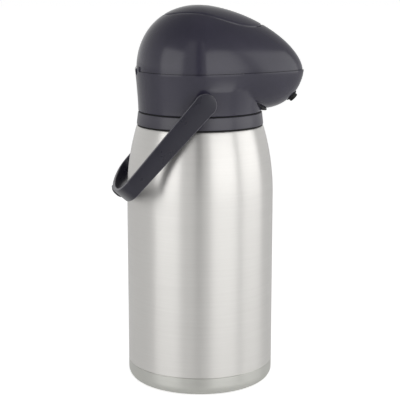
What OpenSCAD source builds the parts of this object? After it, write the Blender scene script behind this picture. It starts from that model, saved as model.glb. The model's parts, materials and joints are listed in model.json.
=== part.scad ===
// Thermal pump airpot: a double-wall steel bottle under a plastic head with a beak spout.
// The head's lid hinges at the rear, its press pad hinges at the front and works a bellows pump.
// Origin: centre of the underside, +Z up, +X towards the spout, Y along the handle's pivots.

/* [Steel body] */
// Outer radius of the straight part of the body
body_r = 68; // [60:1:76]
// Height of the seam between the base cup and the body
base_h = 18; // [14:1:26]
// Radius of the rounded edge of the base cup
foot_round = 9; // [5:0.5:10]
// Height where the straight wall turns into the shoulder
straight_z = 177; // [140:1:190]
// Height of the top of the shoulder
shoulder_z = 241; // [225:1:260]
// Outer radius at the top of the shoulder
shoulder_r = 58.5; // [56:0.5:62]
// Thickness of each steel wall
steel_t = 1; // [0.6:0.1:1.4]
// Gap between the two walls of the bottle
vacuum_gap = 5; // [3:0.5:8]
// Inner radius of the bottle's mouth
mouth_r = 31; // [26:0.5:32]

/* [Head] */
// Height of the tapered ring under the head
ring_h = 11; // [8:0.5:14]
// Height of the collar from the ring to the lid seam
collar_h = 36.9; // [34:0.1:42]
// Radius of the collar at its lower edge
collar_r = 56.9; // [55:0.1:58]
// Radius of the head at the lid seam
head_r = 59.5; // [58:0.1:62]
// How far the beak reaches forward from the axis
beak_reach = 96; // [85:0.5:105]
// Depth of the beak below the lid seam
beak_depth = 35.4; // [30:0.1:36]
// Half width that draws in the side of the beak's nose
nose_half = 22; // [15:0.5:30]
// Height of the lid above the seam
dome_h = 58.7; // [50:0.1:70]
// Wall of the plastic mouldings
shell_t = 2.5; // [2:0.1:3]
// Step from the collar's edge in to the lid
lid_step = 1.2; // [0.8:0.1:1.6]

/* [Press pad] */
// Distance of the pad's middle in front of the axis
pad_x = 11.5; // [9:0.5:14]
// Half length of the oval opening for the pad
pad_half_x = 45.5; // [42:0.5:48]
// Half width of the oval opening for the pad
pad_half_y = 31; // [27:0.5:33]
// Gap around the pad
pad_gap = 1.3; // [1:0.1:2]
// Radius of the finger dish on the pad
dish_r = 7.5; // [5:0.5:10]
// Depth of the finger dish
dish_depth = 1.2; // [0.5:0.1:1.5]

/* [Handle] */
// Height of the handle's pivot above the collar's lower edge
pivot_h = 11.5; // [10.5:0.1:13]
// Half width between the handle's arms
handle_half = 65; // [64:0.5:70]
// Distance from the pivot to the inside of the grip
handle_reach = 112; // [111.5:0.5:125]
// Width of the strap at the pivots
strap_w = 19.5; // [17:0.5:22]
// Width of the strap at the grip
grip_w = 15; // [12:0.5:16]
// Thickness of the strap
strap_t = 3.5; // [3:0.1:4.5]
// Angle of the hanging handle away from straight down
rest_angle = 41.3; // [41:0.1:46]

/* [Pump] */
// Outer radius of the dip tube and the outlet tube
tube_r = 4; // [3.5:0.1:4.2]
// Wall of the tubes
tube_t = 1; // [0.8:0.1:1.2]
// Height of the bellows at rest
bellows_h = 33; // [30:1:34]
// Outer radius of the bellows
bellows_r = 31; // [27:0.5:32]
// Turns of the return spring
spring_turns = 6; // [4:1:8]

/* [Fits] */
// Radial clearance of pins and pivots that turn
run_fit = 0.06; // [0.02:0.01:0.1]
// Gap between faces that move past each other
face_gap = 0.3; // [0.2:0.05:0.5]

/* [Hidden] */
$fn = 96;

// Heights that stack up from the shoulder
gasket_t = 1.5;
groove_t = 1;
ring_z = shoulder_z + gasket_t;
groove_z = ring_z + ring_h;
collar_z = groove_z + groove_t;
seam_z = collar_z + collar_h;
lid_z = seam_z + face_gap;
lip_z = shoulder_z + 9;
well_z = collar_z + shell_t;
flange_z = well_z + 2.5;
flange_t = 3.5;
deck_z = flange_z + 22.5;
plate_top = lid_z + 2.5;
pump_z = deck_z + 5;
plunger_z = pump_z + bellows_h;
plunger_t = 3;
plunger_r = 29;
tube_z = flange_z + flange_t + 10;

// Steel bottle
shoulder_rise = shoulder_z - straight_z;
shoulder_arc = (pow(shoulder_rise, 2) + pow(body_r - shoulder_r, 2)) / (2 * (body_r - shoulder_r));
neck_r = mouth_r + 3 * steel_t;
bottle_z = base_h + 8;
bottle_r = body_r - steel_t - vacuum_gap;
bottle_top = shoulder_z - 3 * steel_t;
bottle_bend = 38;
cup_lift = 0.6;
pad_disc_r = 56;
pad_disc_t = 2;

// Head outline
seg = 60;
rise = 9;
nose_pull = 20;
belly_p = 2.1;
belly_half = 46;
belly_min = 14;
dome_p_front = 1.61;
dome_p_side = 2.1;
dome_p_rear = 2.15;

// Lid hinge
hinge_x = 4 - head_r;
hinge_z = seam_z;
hinge_pin_r = 1.5;
knuckle_r = 4;
knuckle_y = 11;
knuckle_w = 6;
leaf_x = 12;
boss_r = 4;
boss_h = 8;
boss_angles = [50, 130, 230, 310];
boss_reach = head_r - 7;

// Press pad hinge
press_x = 53;
press_z = plunger_z + 2;
press_pin_r = 1.5;
ear_y = 6;
ear_w = 4;
ear_rise = 9.5;
cheek_w = 3;
push_r = 6;
skirt = 6;

// Spout
bend_r = 8;
bore_r = 2.6;
nozzle_x = 76;
nozzle_r = 4.5;
nozzle_len = 8.5;
grommet_r = 6;

// Handle
pivot_z = collar_z + pivot_h;
ear_r = 10;
stud_r = 4;
stud_core = 3;
stud_depth = 2.4;
bend_rise = 15.7;

function power(v, e) = v <= 0 ? 0 : pow(v, e);
function mix(a, b, t) = a + (b - a) * t;

// Radius of the shoulder's arc at height z, for a wall set in by inset
function shoulder_at(z, inset) =
    body_r - shoulder_arc + sqrt(pow(shoulder_arc - inset, 2) - pow(z - straight_z, 2));

// Quarter arc from angle a to b around [x, z]
function arc(x, z, r, a, b, n) = [
    for (i = [0:n]) [x + r * cos(mix(a, b, i / n)), z + r * sin(mix(a, b, i / n))]
];

// Plan outline of the head: a half circle behind, two Bezier sides to the nose in front
function bezier(a, b, c, d, s) =
    a * pow(1 - s, 3) + 3 * b * s * pow(1 - s, 2) + 3 * c * s * s * (1 - s) + d * pow(s, 3);
function nose(s) = [
    bezier(0, nose_pull, beak_reach, beak_reach, s),
    bezier(head_r, head_r, nose_half, 0, s)
];
function plan(a) =
    a < 90 ? nose(1 - a / 90) :
    a > 270 ? [nose((a - 270) / 90)[0], -nose((a - 270) / 90)[1]] :
    head_r * [cos(a), sin(a)];
function reach(a) = norm(plan(a));
function heading(a) = atan2(plan(a)[1], plan(a)[0]);
function round_xy(a, r, z) = [r * cos(heading(a)), r * sin(heading(a)), z];

// Collar and beak: a slight flare, with the beak's belly swelling out of it
function collar_at(z) = mix(collar_r, head_r, power((z - collar_z) / collar_h, 1.4));
function belly_depth(y) = max(belly_min, beak_depth * sqrt(max(0, 1 - pow(y / belly_half, 2))));
function belly(a, t, inset) =
    let (
        z = seam_z - (beak_depth - inset) * power(cos(t), 2 / belly_p),
        deep = belly_depth(head_r * sin(heading(a))) - inset,
        swell = power(1 - power(min(1, (seam_z - z) / deep), belly_p), 1 / belly_p)
    )
    round_xy(a, collar_at(z) - inset + (reach(a) - head_r) * swell, z);

// Lid: superellipse meridians whose power changes from the sides to the nose
function dome_p(a) = mix(dome_p_side, cos(a) < 0 ? dome_p_rear : dome_p_front, pow(cos(a), 2));
function dome(a, t, inset) = round_xy(
    a,
    (reach(a) - lid_step - inset) * power(cos(t), 2 / dome_p(a)),
    lid_z + (dome_h - inset) * power(sin(t), 2 / dome_p(a))
);

// Distance from the axis to an oval around the pad's middle, along the heading h
function oval(h, half_x, half_y) =
    let (
        p = pow(cos(h) / half_x, 2) + pow(sin(h) / half_y, 2),
        q = cos(h) * pad_x / pow(half_x, 2),
        r = pow(pad_x / half_x, 2) - 1
    )
    (q + sqrt(q * q - p * r)) / p;
function oval_t(a, inset, gap) =
    acos(power(
        oval(heading(a), pad_half_x - gap, pad_half_y - gap) / (reach(a) - lid_step - inset),
        dome_p(a) / 2
    ));

// A ring of points, one for each step around the head
function ring_angles() = [for (k = [0:seg - 1]) 360 * k / seg];
function side_faces(rows, closed) = [
    for (i = [0:rows - (closed ? 1 : 2)], k = [0:seg - 1])
        let (a = i * seg + k, b = i * seg + (k + 1) % seg, c = ((i + 1) % rows) * seg)
        each [[a, c + k, c + (k + 1) % seg], [a, c + (k + 1) % seg, b]]
];

// Solid of rings that close on themselves, with a hole through the middle
module ring_loft(rings) {
    polyhedron([for (r = rings) each r], side_faces(len(rings), true), convexity = 8);
}

// Solid of rings closed by a point at each end
module capped_loft(rings, first, last) {
    rows = len(rings);
    n = rows * seg;
    fan = [for (k = [0:seg - 1]) each [
        [n, k, (k + 1) % seg],
        [n + 1, n - seg + (k + 1) % seg, n - seg + k]
    ]];
    polyhedron(
        concat([for (r = rings) each r], [first, last]),
        concat(side_faces(rows, false), fan),
        convexity = 8
    );
}

// Ring with a square section between two radii
module washer(r_out, r_in, h) {
    difference() {
        cylinder(r = r_out, h = h);
        translate([0, 0, -1]) cylinder(r = r_in, h = h + 2);
    }
}

// Cylinder along Y, centred on y = 0
module along_y(r, w) {
    rotate([90, 0, 0]) cylinder(r = r, h = w, center = true);
}

// Places its children on the +Y side and mirrored on the -Y side
module both_sides() {
    for (s = [0, 1]) mirror([0, s, 0]) children();
}

module outer_shell() {
    inset = steel_t;
    outer = [for (i = [0:12]) let (z = mix(straight_z, shoulder_z, i / 12)) [shoulder_at(z, 0), z]];
    deck = shoulder_z - steel_t;
    inner = [for (i = [12:-1:0]) let (z = mix(straight_z, deck, i / 12)) [shoulder_at(z, inset), z]];
    color("silver") rotate_extrude() polygon(concat(
        [[body_r, base_h]],
        outer,
        [[neck_r, shoulder_z], [neck_r, lip_z], [neck_r - steel_t, lip_z], [neck_r - steel_t, deck]],
        inner,
        [[body_r - steel_t, base_h]]
    ));
}

module base_cup() {
    x = body_r - foot_round;
    z = cup_lift + foot_round;
    step_r = pad_disc_r + steel_t;
    color("silver") rotate_extrude() polygon(concat(
        [[0, pad_disc_t], [pad_disc_r, pad_disc_t], [pad_disc_r, cup_lift]],
        arc(x, z, foot_round, -90, 0, 8),
        [[body_r, base_h], [body_r - steel_t, base_h]],
        arc(x, z, foot_round - steel_t, 0, -90, 8),
        [[step_r, cup_lift + steel_t], [step_r, pad_disc_t + steel_t], [0, pad_disc_t + steel_t]]
    ));
}

module base_pad() {
    color("dimgray") cylinder(r = pad_disc_r, h = pad_disc_t);
}

module inner_bottle() {
    inner = bottle_r - steel_t;
    corner = 10;
    bend_z = bottle_top - bottle_bend;
    bulge = bottle_r - mouth_r - steel_t;
    color("lightgray") rotate_extrude() polygon(concat(
        [[0, bottle_z]],
        arc(bottle_r - corner, bottle_z + corner, corner, -90, 0, 6),
        [for (i = [0:10]) [bottle_r - bulge * (1 - cos(9 * i)), bend_z + bottle_bend * sin(9 * i)]],
        [[mouth_r + steel_t, lip_z], [neck_r, lip_z], [neck_r, lip_z + steel_t], [mouth_r, lip_z + steel_t]],
        [for (i = [10:-1:0])
            [inner - bulge * (1 - cos(9 * i)), bend_z + (bottle_bend - steel_t) * sin(9 * i)]],
        arc(bottle_r - corner, bottle_z + corner, corner - steel_t, 0, -90, 6),
        [[0, bottle_z + steel_t]]
    ));
}

// Stands the inner bottle on the base cup's floor
module bottle_spacer() {
    floor_z = pad_disc_t + steel_t;
    color("dimgray") translate([0, 0, floor_z]) washer(30, 22, bottle_z - floor_z);
}

// Sealed evacuation port under the inner bottle
module vacuum_seal() {
    color("gray") translate([0, 0, bottle_z - 2]) cylinder(r = 8, h = 2);
}

module neck_gasket() {
    color("black") translate([0, 0, shoulder_z]) washer(shoulder_r - 0.7, 50, gasket_t);
}

module neck_ring() {
    color("#45434a") rotate_extrude() polygon([
        [neck_r + 0.2, ring_z],
        [shoulder_r, ring_z],
        [collar_r + 0.3, groove_z],
        [50, groove_z],
        [50, ring_z + 3],
        [neck_r + 0.2, ring_z + 3]
    ]);
}

module collar_gasket() {
    color("black") translate([0, 0, groove_z]) washer(collar_r - 0.4, 50, groove_t);
}

// Bore axis of the nozzle: origin at the end of its bend, +Z outwards
module on_nozzle() {
    translate([nozzle_x + bend_r * sin(45), 0, tube_z - bend_r * (1 - cos(45))])
        rotate([0, 135, 0])
            children();
}

module head_base() {
    angles = ring_angles();
    wall = shell_t;
    inner_r = 40;
    outer_rows = [for (i = [0:rise]) [for (a = angles) belly(a, 90 * i / rise, 0)]];
    inner_rows = [for (i = [rise:-1.5:0]) [for (a = angles) belly(a, 90 * i / rise, wall)]];
    color("#4a474f") difference() {
        union() {
            ring_loft(concat(
                [[for (a = angles) round_xy(a, collar_r, collar_z)]],
                outer_rows,
                inner_rows,
                [
                    [for (a = angles) round_xy(a, collar_r - wall, well_z)],
                    [for (a = angles) round_xy(a, inner_r, well_z)],
                    [for (a = angles) round_xy(a, inner_r, collar_z)]
                ]
            ));
            // Bosses that carry the handle's studs
            both_sides() translate([0, collar_r - wall, pivot_z])
                rotate([-90, 0, 0]) cylinder(r = ear_r - 1, h = handle_half - face_gap - collar_r + wall);
        }
        both_sides() translate([0, collar_r - 8, pivot_z])
            rotate([-90, 0, 0]) cylinder(r = stud_core, h = 40);
        // Room for the lid's knuckles to turn
        translate([hinge_x, 0, hinge_z]) along_y(knuckle_r + 1, 2 * (knuckle_y + knuckle_w) + 3);
        on_nozzle() translate([0, 0, -2]) cylinder(r = grommet_r, h = 12);
    }
    // Knuckles at both ends of the lid's hinge, with a web down the collar's inside
    color("#4a474f") both_sides() difference() {
        union() {
            translate([hinge_x, knuckle_y + face_gap + knuckle_w / 2, hinge_z]) along_y(knuckle_r, knuckle_w);
            translate([hinge_x - 0.5, knuckle_y + face_gap, hinge_z - 14]) cube([4.5, knuckle_w, 14]);
        }
        translate([hinge_x, 0, hinge_z]) along_y(hinge_pin_r, 60);
    }
}

// Funnel from the open head down to the bottle's mouth
module filling_well() {
    color("#5a5860") difference() {
        rotate_extrude() polygon([
            [mouth_r + 1, lip_z + steel_t],
            [neck_r, lip_z + steel_t],
            [neck_r, well_z],
            [44, well_z],
            [44, well_z + 3],
            [51, deck_z + 1],
            [48.5, deck_z + 1],
            [41.5, flange_z],
            [mouth_r + 1, flange_z]
        ]);
        translate([20, 0, tube_z]) rotate([0, 90, 0]) cylinder(r = tube_r + 0.4, h = 60);
    }
}

module stopper() {
    r = mouth_r - 0.3;
    seal_z = lip_z - 6.5;
    color("#5a5860") difference() {
        rotate_extrude() polygon([
            [tube_r, seal_z - 8],
            [r - 2, seal_z - 8],
            [r, seal_z - 6],
            [r, seal_z],
            [r - 2.2, seal_z],
            [r - 2.2, seal_z + 5],
            [r, seal_z + 5],
            [r, flange_z],
            [39, flange_z],
            [39, flange_z + flange_t],
            [tube_r, flange_z + flange_t]
        ]);
        for (a = [45:90:315]) rotate([0, 0, a]) translate([9, -6, seal_z - 10]) cube([14, 12, 40]);
    }
}

module stopper_seal() {
    color("black") translate([0, 0, lip_z - 6.5]) washer(mouth_r, mouth_r - 2.5, 5);
}

module dip_tube() {
    top = tube_z - bend_r;
    bottom = bottle_z + 8;
    color("whitesmoke") translate([0, 0, bottom]) washer(tube_r, tube_r - tube_t, top - bottom);
}

// Notched end piece that keeps the tube's mouth off the bottle's floor
module dip_tube_foot() {
    foot_z = bottle_z + steel_t;
    color("dimgray") difference() {
        translate([0, 0, foot_z]) washer(tube_r + 2, tube_r, 12);
        for (a = [0, 90]) rotate([0, 0, a]) translate([0, 0, foot_z]) cube([20, 4, 6], center = true);
    }
}

module pump_housing() {
    base = flange_z + flange_t;
    wall_r = 36;
    color("#5a5860") difference() {
        translate([0, 0, base]) cylinder(r = wall_r, h = deck_z - base);
        translate([0, 0, base - 1]) cylinder(r = wall_r - 2, h = deck_z - base - 1.5);
        for (a = [45:90:315]) rotate([0, 0, a]) translate([9, -6, base]) cube([11, 12, 30]);
        translate([0, 0, tube_z]) rotate([0, 90, 0]) cylinder(r = tube_r + 1, h = 60);
    }
}

// Quarter bend from the dip tube into the outlet tube, with a socket at each end
module elbow() {
    r = tube_r + tube_t;
    base = flange_z + flange_t;
    color("dimgray") {
        translate([0, 0, base]) washer(r, tube_r, tube_z - bend_r - base);
        translate([bend_r, 0, tube_z]) rotate([0, 90, 0]) washer(r, tube_r, 8);
        translate([bend_r, 0, tube_z - bend_r])
            rotate([90, 0, 0]) rotate([0, 0, 90]) rotate_extrude(angle = 90)
            translate([bend_r, 0]) difference() {
                circle(r);
                circle(tube_r - tube_t);
            }
    }
}

module outlet_tube() {
    color("whitesmoke") translate([bend_r, 0, tube_z]) rotate([0, 90, 0])
        washer(tube_r, tube_r - tube_t, nozzle_x - bend_r);
}

// Short angled piece down to the open tip under the beak
module nozzle() {
    corner = bend_r * tan(22.5);
    color("black") difference() {
        union() {
            translate([nozzle_x - 6, 0, tube_z])
                rotate([0, 90, 0]) cylinder(r = nozzle_r + 0.5, h = 6 + corner);
            translate([nozzle_x + corner, 0, tube_z]) sphere(r = nozzle_r + 0.9);
            on_nozzle() translate([0, 0, -corner]) cylinder(r = nozzle_r, h = nozzle_len + corner);
        }
        translate([nozzle_x - 7, 0, tube_z]) rotate([0, 90, 0]) cylinder(r = tube_r, h = 7);
        translate([nozzle_x - 1, 0, tube_z]) rotate([0, 90, 0]) cylinder(r = bore_r, h = 1 + corner);
        translate([nozzle_x + corner, 0, tube_z]) sphere(r = bore_r + 0.4);
        on_nozzle() translate([0, 0, -corner]) cylinder(r = bore_r, h = nozzle_len + corner + 1);
    }
}

module nozzle_grommet() {
    color("black") on_nozzle() translate([0, 0, 2]) washer(grommet_r, nozzle_r, 4.2);
}

// Dark filler in the corner between the collar and the beak's underside
module beak_rib() {
    r_in = collar_r + 0.45;
    low = collar_z + 0.5;
    half_a = 29.5;
    n = 12;
    rise_y = 12;
    end_y = r_in * sin(half_a);
    end_z = seam_z - belly_depth(head_r * sin(half_a)) - 1.2;
    function top_at(h) = seam_z - belly_depth(head_r * sin(h)) - 0.6 - 3 * min(1, abs(h) / 14);
    function rising(y) = mix(low, end_z, max(0, abs(y) - rise_y) / (end_y - rise_y));
    function low_at(h) = min(rising(r_in * sin(h)), top_at(h) - 0.6);
    sections = [for (i = [0:n])
        let (h = mix(-half_a, half_a, i / n), y = r_in * sin(h), r = r_in + 4.4 - 3.6 * pow(h / half_a, 2))
        each [
            [r_in * cos(h), y, low_at(h)],
            [r * cos(h), r * sin(h), low_at(h)],
            [r * cos(h), r * sin(h), top_at(h)],
            [r_in * cos(h), y, top_at(h)]
        ]];
    sides = [for (i = [0:n - 1], k = [0:3])
        let (a = 4 * i + k, b = 4 * i + (k + 1) % 4)
        each [[a, b, b + 4], [a, b + 4, a + 4]]];
    ends = [[3, 2, 1, 0], [4 * n, 4 * n + 1, 4 * n + 2, 4 * n + 3]];
    color("black") polyhedron(sections, concat(sides, ends));
}

module lid_shell() {
    angles = ring_angles();
    cheek_y = ear_y + ear_w + face_gap;
    color("#4a474f") difference() {
        union() {
            ring_loft(concat(
                [for (i = [0:rise]) [for (a = angles) dome(a, oval_t(a, 0, 0) * i / rise, 0)]],
                [for (i = [rise:-1.5:0])
                    [for (a = angles) dome(a, oval_t(a, shell_t, 0) * i / rise, shell_t)]]
            ));
            // Bosses that take the screws of the lid's plate
            for (a = boss_angles) rotate([0, 0, a]) translate([boss_reach, 0, plate_top])
                cylinder(r = boss_r, h = boss_h);
            // Cheeks that carry the press pad's pin
            both_sides() translate([0, cheek_y + cheek_w, 0])
                rotate([90, 0, 0]) linear_extrude(cheek_w) polygon([
                [press_x - 4, press_z + 2.3],
                [press_x - 4, press_z - 3],
                [press_x + 5, press_z - 10],
                [press_x + 15, press_z - 10],
                [press_x + 17, press_z - 5],
                [press_x + 13, press_z - 1.2],
                [press_x + 5, press_z + 3.5],
                [press_x + 1.5, press_z + 2.3]
            ]);
        }
        for (a = boss_angles) rotate([0, 0, a]) translate([boss_reach, 0, lid_z]) cylinder(r = 1.5, h = 9);
        translate([press_x, 0, press_z]) along_y(press_pin_r, 60);
        translate([hinge_x, 0, hinge_z]) along_y(knuckle_r + 0.4, 2 * (knuckle_y + knuckle_w) + 1.4);
    }
}

// Flat plate that closes the lid's underside around the pump
module lid_plate() {
    inset = lid_step + shell_t + 0.6;
    color("#5a5860") difference() {
        translate([0, 0, lid_z]) linear_extrude(plate_top - lid_z)
            polygon([for (a = ring_angles()) [for (c = [0, 1]) round_xy(a, reach(a) - inset, 0)[c]]]);
        translate([0, 0, lid_z - 1]) cylinder(r = 36, h = 10);
        for (a = boss_angles) rotate([0, 0, a])
            translate([boss_reach, 0, lid_z - 1]) cylinder(r = 1.5, h = 9);
        translate([hinge_x, 0, hinge_z]) along_y(knuckle_r + 0.4, 2 * (knuckle_y + knuckle_w) + 1.4);
        translate([hinge_x, -knuckle_y, lid_z - 1]) cube([knuckle_r + 0.3, 2 * knuckle_y, 10]);
    }
}

module lid_screws() {
    color("silver") for (a = boss_angles) rotate([0, 0, a]) translate([boss_reach, 0, lid_z]) {
        cylinder(r = 1.5, h = 8);
        translate([0, 0, -1.6]) cylinder(r = 3, h = 1.6);
    }
}

// Middle knuckle of the lid's hinge, on a leaf that lies on the lid's plate
module hinge_leaf() {
    w = 2 * knuckle_y;
    color("#4a474f") difference() {
        union() {
            translate([hinge_x, 0, hinge_z]) along_y(knuckle_r, w);
            translate([hinge_x + 1.5, -w / 2, plate_top]) cube([leaf_x - 1.5, w, 2]);
            translate([hinge_x + 1.5, -w / 2, hinge_z]) cube([knuckle_r - 1.2, w, plate_top + 2 - hinge_z]);
        }
        translate([hinge_x, 0, hinge_z]) along_y(hinge_pin_r + run_fit, 60);
    }
}

module hinge_pin() {
    color("silver") translate([hinge_x, 0, hinge_z])
        along_y(hinge_pin_r, 2 * (knuckle_y + knuckle_w + face_gap));
}

module bellows_base() {
    floor_z = pump_z - 3;
    color("#5a5860") difference() {
        rotate_extrude() polygon([
            [6, floor_z],
            [35.8, floor_z],
            [35.8, plate_top],
            [42, plate_top],
            [42, plate_top + 2],
            [33.5, plate_top + 2],
            [33.5, pump_z],
            [6, pump_z]
        ]);
    }
}

module pump_gasket() {
    color("black") translate([0, 0, deck_z + face_gap]) washer(33, 22, pump_z - 3 - deck_z - face_gap);
}

module valve_flap() {
    color("black") translate([0, 0, pump_z - 4]) cylinder(r = 9, h = 1);
}

// Pleated rubber tube: the outer and inner outlines swing between two radii
module bellows() {
    folds = 5;
    wall = 1;
    steps = 2 * folds;
    deep = 5;
    side = [for (i = [0:steps]) [bellows_r - (i % 2 == 0 ? deep : 0), pump_z + bellows_h * i / steps]];
    color("#2b2b2e") rotate_extrude() polygon(concat(
        side,
        [for (i = [steps:-1:0]) side[i] - [wall, 0]]
    ));
}

module return_spring() {
    wire = 1;
    coil_r = 17;
    sides = 8;
    per_turn = 16;
    n = spring_turns * per_turn;
    travel = bellows_h - 2 * wire - 0.2;
    function at(i, j) =
        let (a = 360 * i / per_turn, b = 360 * j / sides, r = coil_r + wire * cos(b))
        [r * cos(a), r * sin(a), pump_z + wire + 0.1 + travel * i / n + wire * sin(b)];
    points = [for (i = [0:n], j = [0:sides - 1]) at(i, j)];
    walls = [for (i = [0:n - 1], j = [0:sides - 1])
        let (a = i * sides + j, b = i * sides + (j + 1) % sides)
        each [[a, b, b + sides], [a, b + sides, a + sides]]];
    ends = [
        [for (j = [sides - 1:-1:0]) j],
        [for (j = [0:sides - 1]) n * sides + j]
    ];
    color("silver") polyhedron(points, concat(walls, ends), convexity = 8);
}

module plunger() {
    color("#5a5860") difference() {
        union() {
            translate([0, 0, plunger_z]) cylinder(r = plunger_r, h = plunger_t);
            translate([0, 0, plunger_z - 14]) cylinder(r = 12, h = 14);
        }
        translate([0, 0, plunger_z - 15]) cylinder(r = 10, h = 15);
    }
}

module press_pad() {
    angles = ring_angles();
    rows = 5;
    gap = pad_gap;
    dish_ball = (pow(dish_r, 2) + pow(dish_depth, 2)) / (2 * dish_depth);
    top_z = lid_z + dome_h;
    outer = [for (i = [0:rows]) [for (a = angles) dome(a, mix(oval_t(a, 0, gap), 90, 0.97 * i / rows), 0)]];
    rim_in = [for (a = angles) dome(a, oval_t(a, shell_t, gap + shell_t), shell_t)];
    inner = [for (i = [rows:-1:0])
        [for (a = angles) dome(a, mix(oval_t(a, shell_t, gap + shell_t), 90, 0.97 * i / rows), shell_t)]];
    color("#4a474f") difference() {
        union() {
            capped_loft(
                concat(
                    inner,
                    [[for (p = rim_in) p - [0, 0, skirt - shell_t]]],
                    [[for (p = outer[0]) p - [0, 0, skirt]]],
                    outer
                ),
                [0, 0, top_z - shell_t],
                [0, 0, top_z]
            );
            // Pusher that bears on the plunger
            translate([0, 0, plunger_z + plunger_t + face_gap + push_r]) {
                cylinder(r = push_r, h = top_z - 1.8 - plunger_z - plunger_t - face_gap - push_r);
                sphere(r = push_r);
            }
            // Ears on the pin
            both_sides() {
                translate([press_x, ear_y + ear_w / 2, press_z]) along_y(4, ear_w);
                translate([press_x - 4.5, ear_y, press_z]) cube([4.5, ear_w, ear_rise]);
            }
        }
        translate([press_x, 0, press_z]) along_y(press_pin_r + run_fit, 60);
        translate([0, 0, top_z + dish_ball - dish_depth]) sphere(r = dish_ball);
    }
}

module pad_pin() {
    color("silver") translate([press_x, 0, press_z])
        along_y(press_pin_r, 2 * (ear_y + ear_w + cheek_w + face_gap));
}

// Places its children in the hanging handle's own frame: pivots on Y, grip straight down
module on_handle() {
    translate([0, 0, pivot_z]) rotate([0, rest_angle, 0]) children();
}

// Outline of the strap's inner or outer face, seen along the strap's width
function strap_side(grow) =
    let (half = handle_half + grow, knee = bend_rise - handle_reach)
    concat(
        [[half, 0]],
        [for (i = [0:18]) [half * cos(10 * i), knee - (bend_rise + grow) * sin(10 * i)]],
        [[-half, 0]]
    );

module handle() {
    inner = strap_side(0);
    outer = strap_side(strap_t);
    last = len(inner) - 1;
    knee = handle_reach - bend_rise;
    color("#3a383e") on_handle() difference() {
        union() {
            intersection() {
                rotate([90, 0, 90]) linear_extrude(2 * strap_w, center = true)
                    polygon(concat(outer, [for (i = [last:-1:0]) inner[i]]));
                rotate([90, 0, 0]) linear_extrude(300, center = true) polygon([
                    [-strap_w / 2, 0],
                    [-grip_w / 2, -knee],
                    [-grip_w / 2, -handle_reach - 20],
                    [grip_w / 2, -handle_reach - 20],
                    [grip_w / 2, -knee],
                    [strap_w / 2, 0]
                ]);
            }
            both_sides() translate([0, handle_half, 0]) rotate([-90, 0, 0]) cylinder(r = ear_r, h = strap_t);
        }
        along_y(stud_r + run_fit, 2 * (handle_half + stud_depth));
        translate([-50, -12, -handle_reach - 20]) cube([100, 24, 20 - strap_t + 1]);
    }
}

// Oval finger pad let into the outside of the grip
module grip_pad() {
    color("#2d2b30") on_handle() translate([0, 0, -handle_reach - strap_t - 1.2]) intersection() {
        cylinder(r = 12, h = 2.2);
        translate([-grip_w / 2, -20, 0]) cube([grip_w, 40, 10]);
    }
}

// Studs that stand out of the collar's bosses into blind bores in the arms
module handle_studs() {
    boss = handle_half - face_gap;
    tip = handle_half + stud_depth - face_gap;
    color("#3a383e") both_sides() translate([0, 0, pivot_z]) rotate([-90, 0, 0]) {
        translate([0, 0, collar_r - 4]) cylinder(r = stud_core, h = boss - collar_r + 4);
        translate([0, 0, boss]) cylinder(r = stud_r, h = tip - boss);
    }
}

outer_shell();
base_cup();
base_pad();
inner_bottle();
bottle_spacer();
vacuum_seal();
neck_gasket();
neck_ring();
collar_gasket();
head_base();
filling_well();
stopper();
stopper_seal();
dip_tube();
dip_tube_foot();
pump_housing();
elbow();
outlet_tube();
nozzle();
nozzle_grommet();
beak_rib();
lid_shell();
lid_plate();
lid_screws();
hinge_leaf();
hinge_pin();
bellows_base();
pump_gasket();
valve_flap();
bellows();
return_spring();
plunger();
press_pad();
pad_pin();
handle();
grip_pad();
handle_studs();
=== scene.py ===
"""Looks of a thermal pump airpot: brushed steel body, glossy dark head with a beak, swinging handle."""

import json
import math

import bpy
from mathutils import Matrix, Vector

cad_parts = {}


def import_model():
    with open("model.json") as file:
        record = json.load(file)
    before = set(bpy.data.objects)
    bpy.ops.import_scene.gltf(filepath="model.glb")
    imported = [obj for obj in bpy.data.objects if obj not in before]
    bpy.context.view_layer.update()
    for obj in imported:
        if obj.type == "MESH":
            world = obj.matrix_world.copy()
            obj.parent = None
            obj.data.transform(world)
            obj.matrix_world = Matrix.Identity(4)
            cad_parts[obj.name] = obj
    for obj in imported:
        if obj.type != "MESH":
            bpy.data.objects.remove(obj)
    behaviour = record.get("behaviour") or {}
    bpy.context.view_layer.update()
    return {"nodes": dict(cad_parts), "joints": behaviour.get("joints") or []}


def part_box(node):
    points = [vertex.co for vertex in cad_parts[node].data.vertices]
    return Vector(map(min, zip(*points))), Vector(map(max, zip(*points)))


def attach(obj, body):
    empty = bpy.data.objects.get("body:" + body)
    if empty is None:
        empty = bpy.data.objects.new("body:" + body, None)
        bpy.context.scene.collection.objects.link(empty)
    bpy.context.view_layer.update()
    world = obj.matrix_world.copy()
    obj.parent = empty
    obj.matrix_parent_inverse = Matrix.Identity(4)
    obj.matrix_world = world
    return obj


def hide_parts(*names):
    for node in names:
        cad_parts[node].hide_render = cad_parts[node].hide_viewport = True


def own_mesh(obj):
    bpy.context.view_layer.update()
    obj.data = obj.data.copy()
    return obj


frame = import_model()

MM = 0.001
SEG = 192  # steps round the head and the body
SHARP = 35  # degrees between two faces above which their edge stays crisp

# ---------------------------------------------------------------- places taken from the frame
shell_lo, shell_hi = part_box("outer_shell")
base_lo, base_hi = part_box("base_cup")
ring_lo, ring_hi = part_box("neck_ring")
head_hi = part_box("head_base")[1]
lid_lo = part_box("lid_shell")[0]
pad_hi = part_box("press_pad")[1]
plunger_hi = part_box("plunger")[1]
JOINTS = {j["name"]: j for j in frame["joints"]}
HINGE = Vector(JOINTS["lid_hinge"]["pos_m"])
PRESS = Vector(JOINTS["pad_press"]["pos_m"])
PIVOT = Vector(JOINTS["handle_swing"]["pos_m"])

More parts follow.
